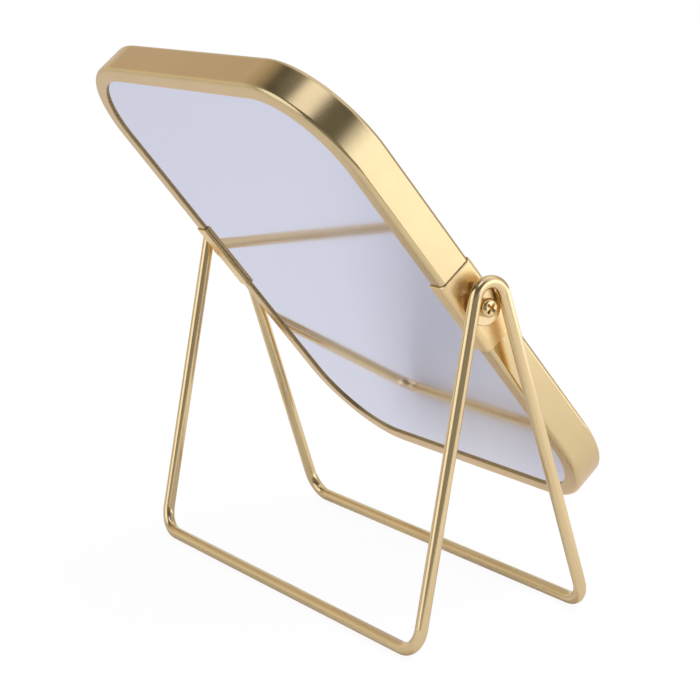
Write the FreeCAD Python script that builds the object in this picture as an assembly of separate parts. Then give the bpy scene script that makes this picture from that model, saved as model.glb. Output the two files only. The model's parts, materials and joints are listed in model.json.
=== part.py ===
"""Two-sided tabletop makeup mirror that swivels in a bent-wire stand.

Millimetres, +Z up. The origin is on the table, midway between the foot bars and under the pivot axis.
The pivot axis runs along X. The plain glass faces -Y and the magnifying glass faces +Y.
Head pieces are drawn upright about the pivot axis, then tilted and lifted into place.
"""
import FreeCAD
import Part
import math
import os

Vector = FreeCAD.Vector

# Mirror frame, a strip bent into a channel, in two halves that meet at the pivots
frame_width = 146.0
frame_height = 179.0
frame_depth = 12.2
frame_corner_radius = 32.0
strip_thickness = 0.8
frame_edge_chamfer = 0.8
lip_overlap = 2.0
lip_edge_chamfer = 0.25
seam_gap = 0.25

# Sleeves that clasp the seams from outside and hook over both lips
sleeve_thickness = 0.6
sleeve_length = 27.0
sleeve_edge_chamfer = 1.1
sleeve_wrap = 0.6
sleeve_clearance = 0.1

# Splice plates that bridge the seams inside the channel
splice_thickness = 2.4
splice_length = 30.0
splice_corner_chamfer = 1.5
splice_clearance = 0.1

# Panes and the pieces that hold them apart
glass_thickness = 2.0
glass_clearance = 0.2
gasket_least_thickness = 0.4
gasket_setback = 0.3
spacer_width = 6.0
foam_thickness = 1.0
foam_clearance = 0.15

# Pivot screws, washers and tabs
screw_diameter = 3.0
screw_head_diameter = 5.8
screw_head_height = 2.6
screw_head_chamfer = 0.7
recess_width = 1.0
recess_length = 3.8
recess_depth = 1.4
recess_end_share = 0.35
recess_turn = 10.0
running_clearance = 0.1
thread_clearance = 0.05
washer_diameter = 9.0
washer_thickness = 1.1
tab_thickness = 1.6
tab_radius = 5.7
tab_neck_width = 7.0

# Stand, one closed loop of wire
wire_diameter = 4.0
foot_spacing = 63.6
foot_bend_radius = 8.0
apex_bend_radius = 5.4
screw_side_gap = 1.3
floor_clearance = 12.0

# Tilt of the head from upright, in degrees
rest_tilt = 36.0

# Cuts run past the faces they open by this much
overrun = 1.0

# Sizes worked out from the driving dimensions
half_width = frame_width / 2
half_height = frame_height / 2
half_depth = frame_depth / 2
channel_half_depth = half_depth - strip_thickness
pane_inset = strip_thickness + splice_thickness + glass_clearance
lip_width = pane_inset + lip_overlap
sleeve_outer_x = half_width + sleeve_thickness
tab_inner_x = sleeve_outer_x + washer_thickness
tab_outer_x = tab_inner_x + tab_thickness
wire_radius = wire_diameter / 2
wire_plane_x = tab_outer_x + wire_radius
pivot_height = half_height + floor_clearance
splice_inner_x = half_width - strip_thickness - splice_thickness

# Dish of the magnifying pane, as deep as the channel allows
plain_back_y = glass_thickness - channel_half_depth
dish_rim_y = channel_half_depth - gasket_least_thickness
dish_middle_y = plain_back_y + foam_thickness + foam_clearance + glass_thickness
dish_depth = dish_rim_y - dish_middle_y
pane_corner_radius = frame_corner_radius - pane_inset
corner_centre_reach = math.hypot(half_width - frame_corner_radius, half_height - frame_corner_radius)
pane_reach = corner_centre_reach + pane_corner_radius
dish_radius = (pane_reach ** 2 + dish_depth ** 2) / (2 * dish_depth)

ORIGIN = Vector(0, 0, 0)
X_AXIS = Vector(1, 0, 0)
Y_AXIS = Vector(0, 1, 0)
Z_AXIS = Vector(0, 0, 1)
QUARTER_TURN = 90
TOLERANCE = 1e-4


def block(low, high):
    """Box between two opposite corners."""
    size = high - low
    return Part.makeBox(size.x, size.y, size.z, low)


def edges_along(shape, axis):
    """Straight edges of a shape that run along an axis."""
    found = []
    for edge in shape.Edges:
        direction = edge.tangentAt(edge.FirstParameter)
        if abs(direction.dot(axis)) > 1 - TOLERANCE:
            found.append(edge)
    return found


def chamfered_side(low, high, size):
    """Block whose two upright edges at its highest X are chamfered."""
    shape = block(low, high)
    edges = [edge for edge in edges_along(shape, Z_AXIS) if edge.CenterOfMass.x > high.x - TOLERANCE]
    return shape.makeChamfer(size, edges)


def rod(radius, start_x, end_x):
    """Cylinder on the pivot axis, from one X to another."""
    return Part.makeCylinder(radius, end_x - start_x, Vector(start_x, 0, 0), X_AXIS)


def outline_plate(inset, front_y, back_y):
    """Plate with the frame's outline drawn in by an inset, between two Y planes."""
    corner = Vector(half_width - inset, 0, half_height - inset)
    low = Vector(-corner.x, front_y, -corner.z)
    high = Vector(corner.x, back_y, corner.z)
    plate = block(low, high)
    return plate.makeFillet(frame_corner_radius - inset, edges_along(plate, Y_AXIS))


def outline_ring(outer_inset, inner_inset, front_y, back_y):
    """Ring between two insets of the frame's outline, between two Y planes."""
    hole = outline_plate(inner_inset, front_y - overrun, back_y + overrun)
    return outline_plate(outer_inset, front_y, back_y).cut(hole)


def inset_of(point):
    """How far a point lies inside the frame's outline."""
    from_side = half_width - abs(point.x)
    from_end = half_height - abs(point.z)
    if from_side < frame_corner_radius and from_end < frame_corner_radius:
        reach = math.hypot(frame_corner_radius - from_side, frame_corner_radius - from_end)
        return frame_corner_radius - reach
    return min(from_side, from_end)


def rim_edges(shape, inset, planes):
    """Edges that follow the outline at an inset and lie on one of the given Y planes."""
    rims = []
    for edge in shape.Edges:
        middle = edge.valueAt((edge.FirstParameter + edge.LastParameter) / 2)
        on_plane = any(abs(middle.y - plane) < TOLERANCE for plane in planes)
        if on_plane and abs(inset_of(middle) - inset) < TOLERANCE:
            rims.append(edge)
    return rims


def frame_ring():
    """Whole channel frame before it is parted: outer shell, hollow for the panes and open windows."""
    faces = (-half_depth, half_depth)
    shell = outline_plate(0, -half_depth, half_depth)
    shell = shell.makeChamfer(frame_edge_chamfer, rim_edges(shell, 0, faces))
    hollow = outline_plate(strip_thickness, -channel_half_depth, channel_half_depth)
    window = outline_plate(lip_width, -half_depth - overrun, half_depth + overrun)
    ring = shell.cut(hollow).cut(window)
    return ring.makeChamfer(lip_edge_chamfer, rim_edges(ring, lip_width, faces))


def frame_half(ring, low_z, high_z):
    """Part of the frame ring between two heights, with clear holes for the pivot screws."""
    reach_x = half_width + overrun
    reach_y = half_depth + overrun
    half = ring.common(block(Vector(-reach_x, -reach_y, low_z), Vector(reach_x, reach_y, high_z)))
    return half.cut(rod(screw_diameter / 2 + running_clearance, -reach_x, reach_x))


def pivot_sleeve():
    """Right-hand sleeve round the side of the channel, with a clear hole for the pivot screw."""
    half_length = sleeve_length / 2
    past_end = half_length + overrun
    lip_x = half_width - lip_width
    reach_y = half_depth + sleeve_thickness
    hook_y = channel_half_depth + sleeve_clearance
    low = Vector(lip_x - sleeve_wrap, -reach_y, -half_length)
    sleeve = chamfered_side(low, Vector(sleeve_outer_x, reach_y, half_length), sleeve_edge_chamfer)
    low = Vector(lip_x, -half_depth, -past_end)
    channel = chamfered_side(low, Vector(half_width, half_depth, past_end), frame_edge_chamfer)
    low = Vector(lip_x - sleeve_wrap - overrun, -hook_y, -past_end)
    mouth = block(low, Vector(half_width, hook_y, past_end))
    hole = rod(screw_diameter / 2 + running_clearance, half_width - overrun, sleeve_outer_x + overrun)
    return sleeve.cut(channel).cut(mouth).cut(hole)


def splice_plate():
    """Right-hand plate inside the channel, tapped for the pivot screw."""
    reach_y = channel_half_depth - splice_clearance
    low = Vector(splice_inner_x, -reach_y, -splice_length / 2)
    high = Vector(splice_inner_x + splice_thickness, reach_y, splice_length / 2)
    plate = block(low, high)
    plate = plate.makeChamfer(splice_corner_chamfer, edges_along(plate, X_AXIS))
    hole = rod(screw_diameter / 2 + thread_clearance, low.x - overrun, high.x + overrun)
    return plate.cut(hole)


def dish_ball(radius):
    """Ball about the centre of the dish."""
    return Part.makeSphere(radius, Vector(0, dish_middle_y + dish_radius, 0))


def plain_mirror():
    """Flat pane against the front lip."""
    return outline_plate(pane_inset, -channel_half_depth, plain_back_y)


def magnifying_mirror():
    """Dished pane of even thickness behind the rear lip."""
    blank = outline_plate(pane_inset, plain_back_y, channel_half_depth)
    return blank.common(dish_ball(dish_radius + glass_thickness)).cut(dish_ball(dish_radius))


def magnifier_gasket():
    """Ring that fills the space between the rear lip and the dished pane."""
    ring = outline_ring(pane_inset, lip_width - gasket_setback, plain_back_y, channel_half_depth)
    return ring.common(dish_ball(dish_radius))


def spacer_ring():
    """Ring that keeps the panes apart, with its rear face dished to suit."""
    ring = outline_ring(pane_inset, pane_inset + spacer_width, plain_back_y, channel_half_depth)
    return ring.cut(dish_ball(dish_radius + glass_thickness))


def foam_core():
    """Thin sheet behind the plain pane, inside the spacer."""
    inset = pane_inset + spacer_width + foam_clearance
    return outline_plate(inset, plain_back_y, plain_back_y + foam_thickness)


def friction_washer():
    """Right-hand washer between the sleeve and the tab."""
    hole = rod(screw_diameter / 2 + running_clearance, sleeve_outer_x - overrun, tab_inner_x + overrun)
    return rod(washer_diameter / 2, sleeve_outer_x, tab_inner_x).cut(hole)


def recess_slot(face_x):
    """One tapered slot of the cross recess, open at the head's face."""
    sections = []
    for x, share in ((face_x, 1), (face_x - recess_depth, recess_end_share)):
        half_long = share * recess_length / 2
        half_wide = recess_width / 2
        corners = [Vector(x, -half_wide, -half_long), Vector(x, half_wide, -half_long),
                   Vector(x, half_wide, half_long), Vector(x, -half_wide, half_long)]
        sections.append(Part.makePolygon(corners + corners[:1]))
    return Part.makeLoft(sections, True, True)


def pivot_screw():
    """Right-hand pan head screw that clamps the tab and threads into the splice plate."""
    face_x = tab_outer_x + screw_head_height
    head = rod(screw_head_diameter / 2, tab_outer_x, face_x)
    face_rims = [edge for edge in head.Edges if edge.CenterOfMass.x > face_x - TOLERANCE]
    head = head.makeChamfer(screw_head_chamfer, face_rims)
    slot = recess_slot(face_x)
    for turn in (recess_turn, recess_turn + QUARTER_TURN):
        cutter = slot.copy()
        cutter.rotate(ORIGIN, X_AXIS, turn)
        head = head.cut(cutter)
    return head.fuse(rod(screw_diameter / 2, splice_inner_x, tab_outer_x)).removeSplitter()


def bend_frame(before, corner, after, radius):
    """Start, end, centre and turn in radians of the bend that rounds one corner."""
    back = (before - corner).normalize()
    onward = (after - corner).normalize()
    half_angle = back.getAngle(onward) / 2
    reach = radius / math.tan(half_angle)
    middle = (back + onward).normalize()
    centre = corner + middle * (radius / math.sin(half_angle))
    return corner + back * reach, corner + onward * reach, centre, math.pi - 2 * half_angle


def bent_loop(corners, bend_radii):
    """Closed loop of round wire through the corners, each corner bent to its radius."""
    count = len(corners)
    bends = []
    for index in range(count):
        after = corners[(index + 1) % count]
        bends.append(bend_frame(corners[index - 1], corners[index], after, bend_radii[index]))
    pieces = []
    for index, (start, end, centre, turn) in enumerate(bends):
        run = start - bends[index - 1][1]
        section = Part.Face(Part.Wire(Part.makeCircle(wire_radius, start, run)))
        axis = (start - centre).cross(end - centre)
        pieces.append(Part.makeCylinder(wire_radius, run.Length, bends[index - 1][1], run))
        pieces.append(section.revolve(centre, axis, math.degrees(turn)))
    return pieces[0].multiFuse(pieces[1:]).removeSplitter()


def stand_corners():
    """Corners of the wire's centre line, once round, with the bend radius at each."""
    foot_y = foot_spacing / 2
    pivot_y = screw_head_diameter / 2 + screw_side_gap + wire_radius
    apex_z = pivot_height + pivot_y * (pivot_height - wire_radius) / (foot_y - pivot_y)
    corners = []
    radii = []
    for side in (1, -1):
        x = side * wire_plane_x
        corners.append(Vector(x, -side * foot_y, wire_radius))
        corners.append(Vector(x, 0, apex_z))
        corners.append(Vector(x, side * foot_y, wire_radius))
        radii += [foot_bend_radius, apex_bend_radius, foot_bend_radius]
    return corners, radii


def apex_centre_height():
    """Height of the wire's centre line at the top of an apex."""
    corners, radii = stand_corners()
    centre = bend_frame(corners[0], corners[1], corners[2], apex_bend_radius)[2]
    return centre.z + apex_bend_radius


def pivot_tab():
    """Right-hand keyhole plate that hangs behind the apex and lies against the wire."""
    eye = rod(tab_radius, tab_inner_x, tab_outer_x)
    eye.translate(Vector(0, 0, pivot_height))
    half_neck = tab_neck_width / 2
    low = Vector(tab_inner_x, -half_neck, pivot_height)
    neck = block(low, Vector(tab_outer_x, half_neck, apex_centre_height()))
    hole = rod(screw_diameter / 2 + running_clearance, tab_inner_x - overrun, tab_outer_x + overrun)
    hole.translate(Vector(0, 0, pivot_height))
    return eye.fuse(neck).removeSplitter().cut(hole)


def mirrored(shape):
    """Left-hand copy of a right-hand piece."""
    return shape.mirror(ORIGIN, X_AXIS)


def seated(shape):
    """Head piece tilted about the pivot axis and lifted to its height."""
    placed = shape.copy()
    placed.rotate(ORIGIN, X_AXIS, rest_tilt)
    placed.translate(Vector(0, 0, pivot_height))
    return placed


def head_pieces():
    """Pieces that turn with the mirror, drawn upright about the pivot axis."""
    ring = frame_ring()
    pieces = {
        "upper_frame": frame_half(ring, seam_gap / 2, half_height + overrun),
        "lower_frame": frame_half(ring, -half_height - overrun, -seam_gap / 2),
        "plain_mirror": plain_mirror(),
        "magnifying_mirror": magnifying_mirror(),
        "magnifier_gasket": magnifier_gasket(),
        "spacer_ring": spacer_ring(),
        "foam_core": foam_core(),
    }
    paired = {
        "pivot_sleeve": pivot_sleeve(),
        "splice_plate": splice_plate(),
        "friction_washer": friction_washer(),
        "pivot_screw": pivot_screw(),
    }
    for name, shape in paired.items():
        pieces["right_" + name] = shape
        pieces["left_" + name] = mirrored(shape)
    return pieces


def stand_pieces():
    """Pieces that stand still on the table."""
    corners, radii = stand_corners()
    tab = pivot_tab()
    return {"stand_wire": bent_loop(corners, radii), "right_pivot_tab": tab, "left_pivot_tab": mirrored(tab)}


def main():
    """Build every piece and write each to its own file."""
    os.makedirs("parts", exist_ok=True)
    pieces = stand_pieces()
    for name, shape in head_pieces().items():
        pieces[name] = seated(shape)
    for name, shape in pieces.items():
        shape.exportStep("parts/" + name + ".step")


main()
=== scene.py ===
"""Looks of a two-sided tabletop makeup mirror that swivels in a bent-wire stand.

Metres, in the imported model's frame: the pivot axis runs along X, the plain glass faces -Y, +Z is up.
"""
import json
import math

import bmesh
import bpy
from mathutils import Matrix, Vector


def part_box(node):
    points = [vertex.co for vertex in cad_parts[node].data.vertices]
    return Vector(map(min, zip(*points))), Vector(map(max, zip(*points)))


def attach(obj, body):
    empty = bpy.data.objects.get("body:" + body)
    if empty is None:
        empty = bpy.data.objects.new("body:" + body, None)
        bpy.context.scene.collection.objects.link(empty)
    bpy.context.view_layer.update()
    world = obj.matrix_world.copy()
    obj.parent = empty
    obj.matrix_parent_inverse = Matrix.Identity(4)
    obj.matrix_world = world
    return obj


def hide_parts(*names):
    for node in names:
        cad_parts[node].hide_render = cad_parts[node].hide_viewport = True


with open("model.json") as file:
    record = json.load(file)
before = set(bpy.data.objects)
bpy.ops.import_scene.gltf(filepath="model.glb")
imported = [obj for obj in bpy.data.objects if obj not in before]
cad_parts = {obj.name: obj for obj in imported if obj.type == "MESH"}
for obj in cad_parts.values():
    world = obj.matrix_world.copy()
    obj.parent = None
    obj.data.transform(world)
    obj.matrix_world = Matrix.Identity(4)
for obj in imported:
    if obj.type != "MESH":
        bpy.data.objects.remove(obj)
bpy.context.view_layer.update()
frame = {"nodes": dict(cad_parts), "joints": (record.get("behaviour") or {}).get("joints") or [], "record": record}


def rgb(red, green, blue):
    """Opaque colour from linear parts."""
    return (red, green, blue, 1.0)


MM = 0.001
WHITE = rgb(1, 1, 1)
PIVOT = Vector(frame["joints"][0]["pos_m"])
REST_TILT = math.radians(36)

# Mirror frame, a strip bent into a channel, drawn upright about the pivot axis
HALF_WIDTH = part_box("upper_frame")[1].x
HALF_HEIGHT = 89.5 * MM
HALF_DEPTH = 6.1 * MM
CORNER_RADIUS = 32 * MM
STRIP_THICKNESS = 0.8 * MM
EDGE_RADIUS = 1.6 * MM
LIP_WIDTH = 5.4 * MM
TIP_RADIUS = 0.2 * MM
SEAM_GAP = 0.25 * MM
CORNER_STEPS = 24
EDGE_STEPS = 6

# Sleeves that clasp the seams
SLEEVE_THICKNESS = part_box("right_pivot_sleeve")[1].x - HALF_WIDTH
SLEEVE_HALF_LENGTH = 13.5 * MM
SLEEVE_WRAP = 0.6 * MM
SLEEVE_CLEARANCE = 0.1 * MM
SLEEVE_RIM = 0.25 * MM

# Places in the list of materials of a frame half or sleeve; the inside slot, which also takes the ends, and the
# hook slot wear darker gold as painted shade
INSIDE_SHADE_SLOT = 1
HOOK_SHADE_SLOT = 2

# Keyhole tabs behind the wire's apexes
TAB_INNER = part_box("right_pivot_tab")[0].x
TAB_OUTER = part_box("right_pivot_tab")[1].x
TAB_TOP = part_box("right_pivot_tab")[1].z - PIVOT.z
TAB_RADIUS = 5.7 * MM
TAB_NECK_HALF = 3.5 * MM
TAB_HOLE_RADIUS = 1.6 * MM
TAB_EDGE = 0.35 * MM
TAB_EDGE_STEPS = 3
TAB_EYE_STEPS = 48

# Pan head screws with a cross recess
SCREW_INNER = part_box("right_pivot_screw")[0].x
SCREW_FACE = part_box("right_pivot_screw")[1].x
SCREW_RADIUS = 1.5 * MM
HEAD_RADIUS = 2.9 * MM
HEAD_SIDE = 1.4 * MM
HEAD_FLAT_RADIUS = 1.5 * MM
HEAD_STEPS = 8
TURN_STEPS = 64
MERGE_DISTANCE = MM / 1e4
RECESS_HALF_WIDTH = 0.5 * MM
RECESS_HALF_LENGTH = 1.9 * MM
RECESS_DEPTH = 1.4 * MM
RECESS_END_SHARE = 0.35
RECESS_TURN = math.radians(10)

# Angles in degrees: sharper edges show as edges on curved and flat shapes, and are eased on tabs
CURVED_SHARP = 40
FLAT_SHARP = 30
EASED_SHARP = 50

# Metals as (name, colour, roughness, grain size, edge tint)
METALS = (
    ("frame_gold", rgb(0.75, 0.585, 0.315), 0.20, 0.4 * MM, rgb(1.0, 0.89, 0.87)),
    # Sleeves: satin gold, made lighter than the frame's as painted bounce light round the pivots
    ("sleeve_satin", rgb(0.97, 0.73, 0.385), 0.36, 0.4 * MM, WHITE),
    ("wire_gold", rgb(0.84, 0.643, 0.358), 0.13, 0.3 * MM, WHITE),
    ("tab_gold", rgb(0.82, 0.63, 0.35), 0.28, 0.3 * MM, WHITE),
    ("screw_gold", rgb(0.78, 0.60, 0.32), 0.10, 0.2 * MM, WHITE),
    # Darker gold as painted shade on inside faces and ends, for the gap at the glass's edge and the seam lines
    ("strip_inside", rgb(0.43, 0.32, 0.15), 0.5, 0.3 * MM, WHITE),
    # Darker gold as painted shade on the sleeves' hooks at the glass's edge
    ("hook_gold", rgb(0.62, 0.46, 0.22), 0.5, 0.3 * MM, WHITE),
    ("splice_steel", rgb(0.52, 0.53, 0.54), 0.35, 0.3 * MM, WHITE),
)

# Silvered glass as (name, colour, roughness)
GLASS_TINT = rgb(0.82, 0.835, 0.985)
SILVERINGS = (
    ("plain_silvering", GLASS_TINT, 0.065),
    ("magnifier_silvering", GLASS_TINT, 0.03),
)

# Moulded, foamed and rubbery stuff as (name, colour, roughness, grain size, grain strength)
GRAINED_STUFF = (
    ("gasket_black", rgb(0.035, 0.033, 0.031), 0.6, 0.3 * MM, 0.2),
    ("spacer_grey", rgb(0.10, 0.10, 0.11), 0.5, 0.5 * MM, 0.1),
    ("foam_grey", rgb(0.08, 0.08, 0.085), 0.85, 0.8 * MM, 0.6),
    ("washer_fibre", rgb(0.42, 0.26, 0.10), 0.45, 0.4 * MM, 0.1),
)

# How a material varies: scales of its noise per metre, and shares of its own colour and roughness
NOISE_DETAIL = 3.0
NOISE_LOW, NOISE_HIGH = 0.3, 0.7
METAL_TONE_SCALE = 35.0
METAL_TONE_SHARES = (0.97, 1.03)
METAL_GLOSS_SCALE = 160.0
METAL_GLOSS_DETAIL = 5.0
METAL_GLOSS_SHARES = (0.88, 1.12)
METAL_GRAIN_DETAIL = 2.0
METAL_GRAIN_STRENGTH = 0.04
GLASS_TONE_SCALE = 9.0
GLASS_TONE_SHARES = (0.985, 1.0)
GLASS_SMEAR_SCALE = 22.0
GLASS_SMEAR_DETAIL = 4.0
GLASS_SMEAR_SHARES = (0.7, 1.3)
GRAINED_DETAIL = 4.0
GRAINED_TONE_SHARES = (0.8, 1.1)
GRAINED_GLOSS_SPREAD = 0.06

# Colour sockets of the mix node
MIX_FIRST, MIX_SECOND, MIX_RESULT = 6, 7, 2

# Camera of the photograph
CAMERA_PLACE = Vector((535.29, -339.69, 229.82)) * MM
CAMERA_AZIMUTH = math.radians(57.544)
CAMERA_ELEVATION = math.radians(13.694)
CAMERA_ROLL = math.radians(-3.319)
CAMERA_LENS_MM = 102.96
CAMERA_SENSOR_MM = 36

# Studio light, with directions in degrees and levels as radiance where white is 1
FILL_LEVEL = 0.65
KEY_AZIMUTH, KEY_ELEVATION = 50, 60
KEY_DISTANCE = 0.95
KEY_SIZE = 0.6
KEY_RADIANCE = 2.4

# Floor, and how the eye sees it
FLOOR_HALF = 4.0
FLOOR_HEIGHT = -0.2 * MM
FLOOR_COLOR = rgb(0.945, 0.945, 0.97)
FLOOR_SEEN_SHARE = 0.86
FLOOR_SEEN_LEVEL = 1.06

# Light and shade on the floor as reflections see it, where a rise is (azimuth, start, end)
GLOW_RISE = (40, 0.11, 0.17)
GLOW_SHARE = 0.20
GLOW_LEVEL = 1.35
DUSK_RISE = (-10, 0.30, 0.46)
DUSK_LEVEL = 0.28
PANEL_SIDE_RISE = (113, -0.08, 0.02)
PANEL_END_RISE = (33, 0.30, 0.65)
PANEL_LEVEL = 1.58
PANEL_COLOR = rgb(1.0, 1.005, 1.08)
SPOT_PLACE = (-0.026, 0.027, 0)
SPOT_RADIUS = 0.055
SPOT_CORE = 0.004
SPOT_SHARE = 0.14
SPOT_LEVEL = 1.25
SPOT_COLOR = rgb(1.0, 0.91, 0.70)

# Walls as reflections see them, as stops of (height, colour), and where the dark wall sets in
WALL_SHADES = (
    (0.25, rgb(0.74, 0.71, 0.63)),
    (0.47, rgb(0.595, 0.525, 0.45)),
    (0.70, rgb(0.50, 0.445, 0.375)),
    (0.83, rgb(0.31, 0.265, 0.22)),
    (0.90, rgb(0.035, 0.03, 0.025)),
)
DARK_SHADES = ((0.0, rgb(0.31, 0.31, 0.30)), (0.4, rgb(0.14, 0.135, 0.125)))
DARK_RISE = (-50, -0.1, 0.35)

# Softboxes as (azimuth, elevation, core radius, edge radius, colour), with angles in degrees
SOFTBOXES = (
    (90, 60, 6, 48, rgb(0.96, 0.96, 0.98)),
    (-31, 67, 9, 18.4, rgb(1.20, 1.22, 1.40)),
    (36, 4, 12, 36, rgb(1.56, 1.63, 1.82)),
    (-98, 21, 24, 28.5, rgb(1.18, 1.21, 1.28)),
    (100, 5, 15, 40, rgb(0.48, 0.45, 0.40)),
    (150, 16, 8, 24, rgb(0.67, 0.71, 0.70)),
)


# Meshes and objects

def new_object(name, data):
    """Object for a mesh, lamp or camera, linked to the scene."""
    made = bpy.data.objects.new(name, data)
    bpy.context.scene.collection.objects.link(made)
    return made


def finish_mesh(shape, name, sharp_degrees):
    """Mesh from a bmesh, smooth except across edges sharper than the angle."""
    bmesh.ops.recalc_face_normals(shape, faces=shape.faces)
    mesh = bpy.data.meshes.new(name)
    shape.to_mesh(mesh)
    shape.free()
    mesh.polygons.foreach_set("use_smooth", [True] * len(mesh.polygons))
    mesh.set_sharp_from_angle(angle=math.radians(sharp_degrees))
    return mesh


def applied_mesh(piece):
    """Copy of a piece's mesh with its modifiers applied."""
    bpy.context.view_layer.update()
    graph = bpy.context.evaluated_depsgraph_get()
    return bpy.data.meshes.new_from_object(piece.evaluated_get(graph))


def keep_faces_flat(piece):
    """Shade flat faces flat where they meet rounded edges."""
    piece.modifiers.new("flat_faces", "WEIGHTED_NORMAL").keep_sharp = True


def head_matrix():
    """Tilt about the pivot axis and lift to its height."""
    return Matrix.Translation(PIVOT) @ Matrix.Rotation(REST_TILT, 4, "X")


def arc(centre, radius, start_degrees, end_degrees, steps):
    """Points along an arc in a plane, both ends included."""
    points = []
    for step in range(steps + 1):
        angle = math.radians(start_degrees + (end_degrees - start_degrees) * step / steps)
        points.append((centre[0] + radius * math.cos(angle), centre[1] + radius * math.sin(angle)))
    return points


def rectangle(half_wide, half_long):
    """Corners of a rectangle about the middle of a plane."""
    return ((-half_wide, -half_long), (half_wide, -half_long),
            (half_wide, half_long), (-half_wide, half_long))


def band(shape, first, second):
    """Closed band of faces between two rings of as many points."""
    faces = []
    count = len(first)
    for index in range(count):
        after = (index + 1) % count
        faces.append(shape.faces.new((first[index], first[after], second[after], second[index])))
    return faces


# Frame and sleeves, whose sections are points (inset, y) with the inset measured inwards from the side

def both_halves(outside, inside):
    """Outer and inner run of a section, from its front half and that half's mirror image."""
    outer = [(inset, -y) for inset, y in reversed(outside)] + outside
    inner = inside + [(inset, -y) for inset, y in reversed(inside)]
    return outer, inner


def rounded_side(radius, start_degrees, end_degrees):
    """Arc about the centre of the frame's rounded front edge."""
    return arc((EDGE_RADIUS, EDGE_RADIUS - HALF_DEPTH), radius, start_degrees, end_degrees, EDGE_STEPS)


def rounded_tip(inset, y):
    """Arc that rounds the front of a lip's edge."""
    return arc((inset - TIP_RADIUS, y + TIP_RADIUS), TIP_RADIUS, 270, 360, EDGE_STEPS)


def channel_section():
    """Section of the frame's strip."""
    inner_y = STRIP_THICKNESS - HALF_DEPTH
    outside = rounded_side(EDGE_RADIUS, 180, 270) + rounded_tip(LIP_WIDTH, -HALF_DEPTH)
    return both_halves(outside, [(LIP_WIDTH, inner_y), (STRIP_THICKNESS, inner_y)])


def sleeve_section(thickness):
    """Section of a sleeve that fits round the strip and hooks over its lips."""
    hook_inset = LIP_WIDTH + SLEEVE_WRAP
    hook_y = STRIP_THICKNESS - HALF_DEPTH - SLEEVE_CLEARANCE
    side = rounded_side(EDGE_RADIUS + thickness, 180, 270)
    outside = side + rounded_tip(hook_inset, -HALF_DEPTH - thickness)
    inside = [(hook_inset, hook_y), (LIP_WIDTH, hook_y), (LIP_WIDTH, -HALF_DEPTH)]
    return both_halves(outside, inside + rounded_side(EDGE_RADIUS, 270, 180))


def half_outline(start_z, sign):
    """Places along one half of the outline, from the right seam to the left.

    Each place is (x, z, outward x, outward z).
    """
    centre_x = HALF_WIDTH - CORNER_RADIUS
    centre_z = HALF_HEIGHT - CORNER_RADIUS
    places = [(HALF_WIDTH, sign * start_z, 1, 0)]
    for side, start in ((1, 0), (-1, 90)):
        for out_x, out_z in arc((0, 0), 1, start, start + 90, CORNER_STEPS):
            x = side * centre_x + CORNER_RADIUS * out_x
            z = sign * (centre_z + CORNER_RADIUS * out_z)
            places.append((x, z, out_x, sign * out_z))
    places.append((-HALF_WIDTH, sign * start_z, -1, 0))
    return places


def swept_piece(name, stations, inner_slot):
    """Surface through sections at places of the outline, closed at both ends."""
    shape = bmesh.new()
    rings = []
    for (outer, inner), (x, z, out_x, out_z) in stations:
        points = [(x - inset * out_x, y, z - inset * out_z) for inset, y in outer + inner]
        rings.append([shape.verts.new(point) for point in points])
        outer_faces = len(outer) - 1
    for ring, following in zip(rings, rings[1:]):
        # Inner faces and both ends take the painted-shade slots
        for face in band(shape, ring, following)[outer_faces:]:
            face.material_index = inner_slot
    for ring in (rings[0], rings[-1]):
        shape.faces.new(ring).material_index = INSIDE_SHADE_SLOT
    piece = new_object(name, finish_mesh(shape, name, CURVED_SHARP))
    piece.data.transform(head_matrix())
    keep_faces_flat(piece)
    return piece


def frame_piece(name, sign):
    """Upper or lower half of the channel frame."""
    section = channel_section()
    stations = [(section, place) for place in half_outline(SEAM_GAP / 2, sign)]
    return swept_piece(name, stations, INSIDE_SHADE_SLOT)


def sleeve_piece(name, side):
    """Sleeve on one side of the frame, with slanted rims at its ends."""
    full = sleeve_section(SLEEVE_THICKNESS)
    rim = sleeve_section(SLEEVE_THICKNESS - SLEEVE_RIM)
    steps = ((rim, -SLEEVE_HALF_LENGTH), (full, SLEEVE_RIM - SLEEVE_HALF_LENGTH),
             (full, SLEEVE_HALF_LENGTH - SLEEVE_RIM), (rim, SLEEVE_HALF_LENGTH))
    stations = [(section, (side * HALF_WIDTH, z, side, 0)) for section, z in steps]
    return swept_piece(name, stations, HOOK_SHADE_SLOT)


# Tabs

def tab_outline():
    """Keyhole outline as (y, z) about the pivot axis."""
    neck_angle = math.degrees(math.asin(TAB_NECK_HALF / TAB_RADIUS))
    eye = arc((0, 0), TAB_RADIUS, 90 + neck_angle, 450 - neck_angle, TAB_EYE_STEPS)
    return [(TAB_NECK_HALF, TAB_TOP), (-TAB_NECK_HALF, TAB_TOP)] + eye


def ease_edges(piece):
    """Round the sharp edges of a tab."""
    bevel = piece.modifiers.new("eased_edges", "BEVEL")
    bevel.width = TAB_EDGE
    bevel.segments = TAB_EDGE_STEPS
    bevel.limit_method = "ANGLE"
    bevel.angle_limit = math.radians(EASED_SHARP)


def tab_piece(name, side):
    """Keyhole plate with a screw hole and eased edges."""
    shape = bmesh.new()
    outlines = []
    holes = []
    for x in (TAB_INNER, TAB_OUTER):
        outline = [Vector((side * x, y, z)) for y, z in tab_outline()]
        hole = []
        for place in outline:
            shrink = TAB_HOLE_RADIUS / place.yz.length
            hole.append(shape.verts.new((place.x, place.y * shrink, place.z * shrink)))
        outlines.append([shape.verts.new(place) for place in outline])
        holes.append(hole)
    for outline, hole in zip(outlines, holes):
        band(shape, outline, hole)
    band(shape, *outlines)
    band(shape, *holes)
    piece = new_object(name, finish_mesh(shape, name, FLAT_SHARP))
    piece.data.transform(Matrix.Translation(PIVOT))
    ease_edges(piece)
    keep_faces_flat(piece)
    return piece


# Screws

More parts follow.
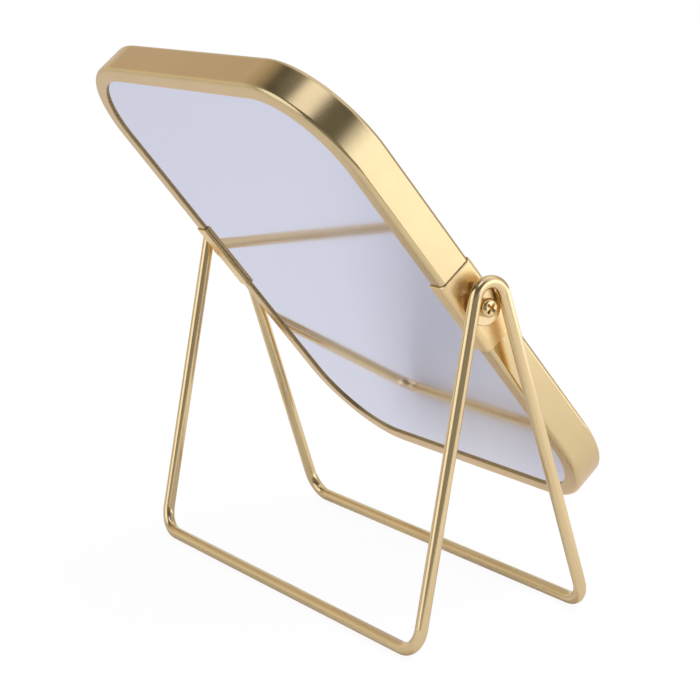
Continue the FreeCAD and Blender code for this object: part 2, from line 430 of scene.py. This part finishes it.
def screw_profile():
    """Half section of the screw as (x, radius), from the shank's end to the middle of the face."""
    dome_start = TAB_OUTER + HEAD_SIDE
    dome_height = SCREW_FACE - dome_start
    dome_radius = HEAD_RADIUS - HEAD_FLAT_RADIUS
    shank = [(SCREW_INNER, 0), (SCREW_INNER, SCREW_RADIUS), (TAB_OUTER, SCREW_RADIUS)]
    head = [(TAB_OUTER, HEAD_RADIUS)]
    for across, along in arc((0, 0), 1, 0, 90, HEAD_STEPS):
        head.append((dome_start + dome_height * along, HEAD_FLAT_RADIUS + dome_radius * across))
    return shank + head + [(SCREW_FACE, 0)]


def turned_shape(profile):
    """Solid turned about the X axis from a half section."""
    shape = bmesh.new()
    verts = [shape.verts.new((x, 0, radius)) for x, radius in profile]
    edges = [shape.edges.new(pair) for pair in zip(verts, verts[1:])]
    bmesh.ops.spin(shape, geom=verts + edges, cent=(0, 0, 0), axis=(1, 0, 0),
                   angle=math.tau, steps=TURN_STEPS, use_merge=True)
    bmesh.ops.remove_doubles(shape, verts=shape.verts, dist=MERGE_DISTANCE)
    return shape


def recess_cutter():
    """Tapered cross that sinks the recess."""
    shape = bmesh.new()
    levels = ((SCREW_FACE + RECESS_DEPTH, 1), (SCREW_FACE, 1),
              (SCREW_FACE - RECESS_DEPTH, RECESS_END_SHARE))
    for turn in (RECESS_TURN, RECESS_TURN + math.pi / 2):
        turned = Matrix.Rotation(turn, 3, "X")
        rings = []
        for x, share in levels:
            corners = rectangle(RECESS_HALF_WIDTH * math.sqrt(share), RECESS_HALF_LENGTH * share)
            rings.append([shape.verts.new(turned @ Vector((x, y, z))) for y, z in corners])
        for ring, following in zip(rings, rings[1:]):
            band(shape, ring, following)
        shape.faces.new(rings[0])
        shape.faces.new(rings[-1])
    return new_object("recess_cutter", finish_mesh(shape, "recess_cutter", FLAT_SHARP))


def screw_piece(name, side):
    """Pan head screw with a cross recess."""
    piece = new_object(name, finish_mesh(turned_shape(screw_profile()), name, CURVED_SHARP))
    cutter = recess_cutter()
    cut = piece.modifiers.new("recess", "BOOLEAN")
    cut.operation = "DIFFERENCE"
    cut.solver = "EXACT"
    cut.use_self = True
    cut.object = cutter
    mesh = applied_mesh(piece)
    piece.modifiers.clear()
    piece.data = mesh
    bpy.data.objects.remove(cutter)
    mesh.set_sharp_from_angle(angle=math.radians(CURVED_SHARP))
    mesh.transform(head_matrix() @ Matrix.Scale(side, 4, Vector((1, 0, 0))))
    if side < 0:
        mesh.flip_normals()
    return piece


# Colours, directions and shader nodes

def toward(azimuth_degrees, elevation_degrees):
    """Unit vector to a place in the studio, from +X round to +Y and up."""
    azimuth = math.radians(azimuth_degrees)
    elevation = math.radians(elevation_degrees)
    flat = math.cos(elevation)
    return Vector((flat * math.cos(azimuth), flat * math.sin(azimuth), math.sin(elevation)))


def scaled(color, factor):
    """Colour made lighter or darker."""
    return rgb(*(part * factor for part in color[:3]))


class Nodes:
    """Short way to add and link the nodes of one material or world."""

    def __init__(self, owner):
        owner.use_nodes = True
        self.tree = owner.node_tree
        self.tree.nodes.clear()

    def add(self, kind, **settings):
        """Node with its settings, and its inputs by name, with _ for a space."""
        node = self.tree.nodes.new("ShaderNode" + kind)
        for key, value in settings.items():
            if hasattr(node, key):
                setattr(node, key, value)
            else:
                self.feed(node.inputs[key.replace("_", " ")], value)
        return node

    def feed(self, socket, value):
        """Link a socket to another, or set its value."""
        if isinstance(value, bpy.types.NodeSocket):
            self.tree.links.new(value, socket)
        else:
            socket.default_value = value

    def pair(self, kind, operation, first, second):
        """Outputs of a math or vector math node on two values."""
        node = self.add(kind, operation=operation)
        self.feed(node.inputs[0], first)
        self.feed(node.inputs[1], second)
        return node.outputs

    def larger(self, first, second):
        """Larger of two numbers."""
        return self.pair("Math", "MAXIMUM", first, second)[0]

    def product(self, first, second):
        """Product of two numbers."""
        return self.pair("Math", "MULTIPLY", first, second)[0]

    def dot(self, first, second):
        """Dot product of two vectors."""
        return self.pair("VectorMath", "DOT_PRODUCT", first, second)["Value"]

    def distance(self, first, second):
        """Distance between two places."""
        return self.pair("VectorMath", "DISTANCE", first, second)["Value"]

    def place(self):
        """Coordinates that stay with the object."""
        return self.add("TexCoord").outputs["Object"]

    def noise(self, coordinates, scale, detail=NOISE_DETAIL):
        """Soft noise about 0.5."""
        return self.add("TexNoise", Vector=coordinates, Scale=scale, Detail=detail).outputs["Fac"]

    def ramp(self, value, low, high, start=0.0, end=1.0, smooth=True):
        """Value mapped from one range to another, and held at its ends."""
        kind = "SMOOTHSTEP" if smooth else "LINEAR"
        node = self.add("MapRange", interpolation_type=kind, Value=value,
                        From_Min=low, From_Max=high, To_Min=start, To_Max=end)
        return node.outputs[0]

    def rise(self, vector, line, share=1.0):
        """Share that grows along a level line, given as (azimuth, start, end)."""
        azimuth, start, end = line
        return self.ramp(self.dot(vector, toward(azimuth, 0)), start, end, 0.0, share)

    def spread(self, noise, low, high):
        """Noise spread over a range."""
        return self.ramp(noise, NOISE_LOW, NOISE_HIGH, low, high, smooth=False)

    def shifting(self, noise, color, shares):
        """Colour that a noise shifts between two shares of itself."""
        low, high = shares
        return self.mix_colors(self.spread(noise, 0.0, 1.0), scaled(color, low), scaled(color, high))

    def mix_colors(self, share, first, second):
        """First colour with a share of the second."""
        node = self.add("Mix", data_type="RGBA")
        self.feed(node.inputs["Factor"], share)
        self.feed(node.inputs[MIX_FIRST], first)
        self.feed(node.inputs[MIX_SECOND], second)
        return node.outputs[MIX_RESULT]

    def mix_shaders(self, share, first, second):
        """First shader with a share of the second."""
        node = self.add("MixShader", Fac=share)
        self.feed(node.inputs[1], first)
        self.feed(node.inputs[2], second)
        return node.outputs[0]

    def bump(self, height, strength, distance):
        """Normal over a bumpy height."""
        return self.add("Bump", Height=height, Strength=strength, Distance=distance).outputs[0]

    def surface(self, shader, kind="OutputMaterial"):
        """Show a shader on the surface."""
        self.feed(self.add(kind).inputs["Surface"], shader)

    def mirrored(self):
        """1 for rays that come off gloss or through glass."""
        paths = self.add("LightPath").outputs
        return self.larger(paths["Is Glossy Ray"], paths["Is Transmission Ray"])

    def seen(self):
        """1 for rays from the camera."""
        return self.add("LightPath").outputs["Is Camera Ray"]


# Materials

def metal(name, color, roughness, grain_size, edge_tint):
    """Plated metal: slow tone shifts, uneven gloss and a fine grain."""
    material = bpy.data.materials.new(name)
    nodes = Nodes(material)
    place = nodes.place()
    tone = nodes.shifting(nodes.noise(place, METAL_TONE_SCALE), color, METAL_TONE_SHARES)
    patches = nodes.noise(place, METAL_GLOSS_SCALE, METAL_GLOSS_DETAIL)
    gloss = nodes.spread(patches, *(roughness * share for share in METAL_GLOSS_SHARES))
    grain = nodes.noise(place, 1 / grain_size, METAL_GRAIN_DETAIL)
    normal = nodes.bump(grain, METAL_GRAIN_STRENGTH, grain_size)
    shader = nodes.add("BsdfPrincipled", Base_Color=tone, Roughness=gloss, Normal=normal, Metallic=1.0,
                       Specular_Tint=edge_tint)
    nodes.surface(shader.outputs[0])
    return material


def silvering(name, color, roughness):
    """Silvered glass with faint smears that soften the gloss."""
    material = bpy.data.materials.new(name)
    nodes = Nodes(material)
    place = nodes.place()
    tone = nodes.shifting(nodes.noise(place, GLASS_TONE_SCALE), color, GLASS_TONE_SHARES)
    smears = nodes.noise(place, GLASS_SMEAR_SCALE, GLASS_SMEAR_DETAIL)
    gloss = nodes.spread(smears, *(roughness * share for share in GLASS_SMEAR_SHARES))
    shader = nodes.add("BsdfPrincipled", Base_Color=tone, Roughness=gloss, Metallic=1.0)
    nodes.surface(shader.outputs[0])
    return material


def grained(name, color, roughness, grain_size, grain_strength):
    """Moulded, foamed or rubbery stuff with a mottled tone and a fine grain."""
    material = bpy.data.materials.new(name)
    nodes = Nodes(material)
    grain = nodes.noise(nodes.place(), 1 / grain_size, GRAINED_DETAIL)
    tone = nodes.shifting(grain, color, GRAINED_TONE_SHARES)
    gloss = nodes.spread(grain, roughness - GRAINED_GLOSS_SPREAD, roughness + GRAINED_GLOSS_SPREAD)
    normal = nodes.bump(grain, grain_strength, grain_size)
    shader = nodes.add("BsdfPrincipled", Base_Color=tone, Roughness=gloss, Normal=normal)
    nodes.surface(shader.outputs[0])
    return material


def make_materials():
    """Materials by name: the record's slots, and those that only new pieces wear."""
    makers = ((metal, METALS), (silvering, SILVERINGS), (grained, GRAINED_STUFF))
    return {values[0]: make(*values) for make, table in makers for values in table}


# Pieces

def dress_nodes(materials):
    """Give every CAD node the material of its slot."""
    for subpart in frame["record"]["subparts"]:
        for place in frame["nodes"][subpart["node"]].material_slots:
            place.material = materials[subpart["material_slot"]]


def add_piece(piece, node, body, dress):
    """Dress a new piece in its materials and let it stand for a node on its body."""
    for material in dress:
        piece.data.materials.append(material)
    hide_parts(node)
    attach(piece, body)


def add_pieces(materials):
    """Make the pieces that stand for CAD nodes."""
    # Inside faces, ends and sleeve hooks wear darker gold as painted shade
    strip = [materials["frame_gold"], materials["strip_inside"]]
    # Sleeves wear a satin gold that is partly painted bounce light
    clasp = [materials["sleeve_satin"], materials["strip_inside"], materials["hook_gold"]]
    for half, sign in (("upper", 1), ("lower", -1)):
        add_piece(frame_piece(half + "_channel", sign), half + "_frame", "mirror_head", strip)
    for name, side in (("right", 1), ("left", -1)):
        pivot = name + "_pivot_"
        sleeve = sleeve_piece(name + "_sleeve", side)
        add_piece(sleeve, pivot + "sleeve", "mirror_head", clasp)
        screw = screw_piece(name + "_screw", side)
        add_piece(screw, pivot + "screw", "mirror_head", [materials["screw_gold"]])
        tab = tab_piece(name + "_tab", side)
        add_piece(tab, pivot + "tab", "stand", [materials["tab_gold"]])


# Stage, light and camera

def floor_patches(nodes, place):
    """Light and shade on the floor as (share, level, colour)."""
    panel = nodes.product(nodes.rise(place, PANEL_SIDE_RISE), nodes.rise(place, PANEL_END_RISE))
    spot = nodes.ramp(nodes.distance(place, SPOT_PLACE), SPOT_RADIUS, SPOT_CORE, 0.0, SPOT_SHARE)
    return (
        (nodes.rise(place, GLOW_RISE, GLOW_SHARE), GLOW_LEVEL, WHITE),
        (nodes.rise(place, DUSK_RISE), DUSK_LEVEL, WHITE),
        (panel, PANEL_LEVEL, PANEL_COLOR),
        (spot, SPOT_LEVEL, SPOT_COLOR),
    )


def floor_material():
    """Near white to the eye, with a soft shadow, and with light and shade for reflections."""
    material = bpy.data.materials.new("floor_white")
    nodes = Nodes(material)
    shader = nodes.add("BsdfDiffuse", Color=FLOOR_COLOR).outputs[0]
    for share, level, color in floor_patches(nodes, nodes.place()):
        patch = nodes.add("Emission", Strength=level, Color=color).outputs[0]
        shader = nodes.mix_shaders(nodes.product(nodes.mirrored(), share), shader, patch)
    bright = nodes.add("Emission", Strength=FLOOR_SEEN_LEVEL).outputs[0]
    seen_share = nodes.product(nodes.seen(), FLOOR_SEEN_SHARE)
    nodes.surface(nodes.mix_shaders(seen_share, shader, bright))
    return material


def make_floor():
    """Wide level floor under the stand."""
    shape = bmesh.new()
    corners = rectangle(FLOOR_HALF, FLOOR_HALF)
    shape.faces.new([shape.verts.new((x, y, FLOOR_HEIGHT)) for x, y in corners])
    floor = new_object("floor", finish_mesh(shape, "floor", FLAT_SHARP))
    floor.data.materials.append(floor_material())


def shades(nodes, height, stops):
    """Colours by height, from stops of (height, colour)."""
    node = nodes.add("ValToRGB", Fac=height)
    ramp = node.color_ramp.elements
    ramp.remove(ramp[1])
    ramp[0].position, ramp[0].color = stops[0]
    for position, color in stops[1:]:
        ramp.new(position).color = color
    return node.outputs[0]


def studio_color(nodes):
    """Walls and softboxes as reflections see them."""
    direction = nodes.add("TexCoord").outputs["Generated"]
    height = nodes.add("SeparateXYZ", Vector=direction).outputs["Z"]
    wall = shades(nodes, height, WALL_SHADES)
    dark_wall = shades(nodes, height, DARK_SHADES)
    studio = nodes.mix_colors(nodes.rise(direction, DARK_RISE), wall, dark_wall)
    for azimuth, elevation, core_degrees, edge_degrees, color in SOFTBOXES:
        edge = math.cos(math.radians(edge_degrees))
        core = math.cos(math.radians(core_degrees))
        share = nodes.ramp(nodes.dot(direction, toward(azimuth, elevation)), edge, core, smooth=False)
        studio = nodes.mix_colors(share, studio, color)
    return studio


def make_world():
    """White to the eye, even fill for matt surfaces, and a studio for reflections."""
    world = bpy.data.worlds.new("studio")
    bpy.context.scene.world = world
    nodes = Nodes(world)
    fill = rgb(FILL_LEVEL, FILL_LEVEL, FILL_LEVEL)
    light = nodes.mix_colors(nodes.mirrored(), fill, studio_color(nodes))
    color = nodes.mix_colors(nodes.seen(), light, WHITE)
    nodes.surface(nodes.add("Background", Color=color).outputs[0], "OutputWorld")


def make_key_lamp():
    """High softbox that casts the soft shadow. Reflections show the world's softboxes instead."""
    data = bpy.data.lights.new("key_softbox", "AREA")
    data.shape = "SQUARE"
    data.size = KEY_SIZE
    data.energy = KEY_RADIANCE * math.pi * KEY_SIZE ** 2
    lamp = new_object("key_softbox", data)
    away = toward(KEY_AZIMUTH, KEY_ELEVATION)
    lamp.location = PIVOT + KEY_DISTANCE * away
    lamp.rotation_mode = "QUATERNION"
    lamp.rotation_quaternion = away.to_track_quat("Z", "Y")
    lamp.visible_camera = False
    lamp.visible_glossy = False


def make_camera():
    """Camera at the photograph's place and angle."""
    data = bpy.data.cameras.new("photo_camera")
    data.sensor_width = CAMERA_SENSOR_MM
    data.lens = CAMERA_LENS_MM
    camera = new_object("photo_camera", data)
    heading = Matrix.Rotation(CAMERA_AZIMUTH, 4, "Z")
    pitch = Matrix.Rotation(math.pi / 2 - CAMERA_ELEVATION, 4, "X")
    roll = Matrix.Rotation(CAMERA_ROLL, 4, "Z")
    camera.matrix_world = Matrix.Translation(CAMERA_PLACE) @ heading @ pitch @ roll
    bpy.context.scene.camera = camera


slot_materials = make_materials()
dress_nodes(slot_materials)
add_pieces(slot_materials)
make_floor()
make_world()
make_key_lamp()
make_camera()
bpy.context.scene.view_settings.view_transform = "Standard"
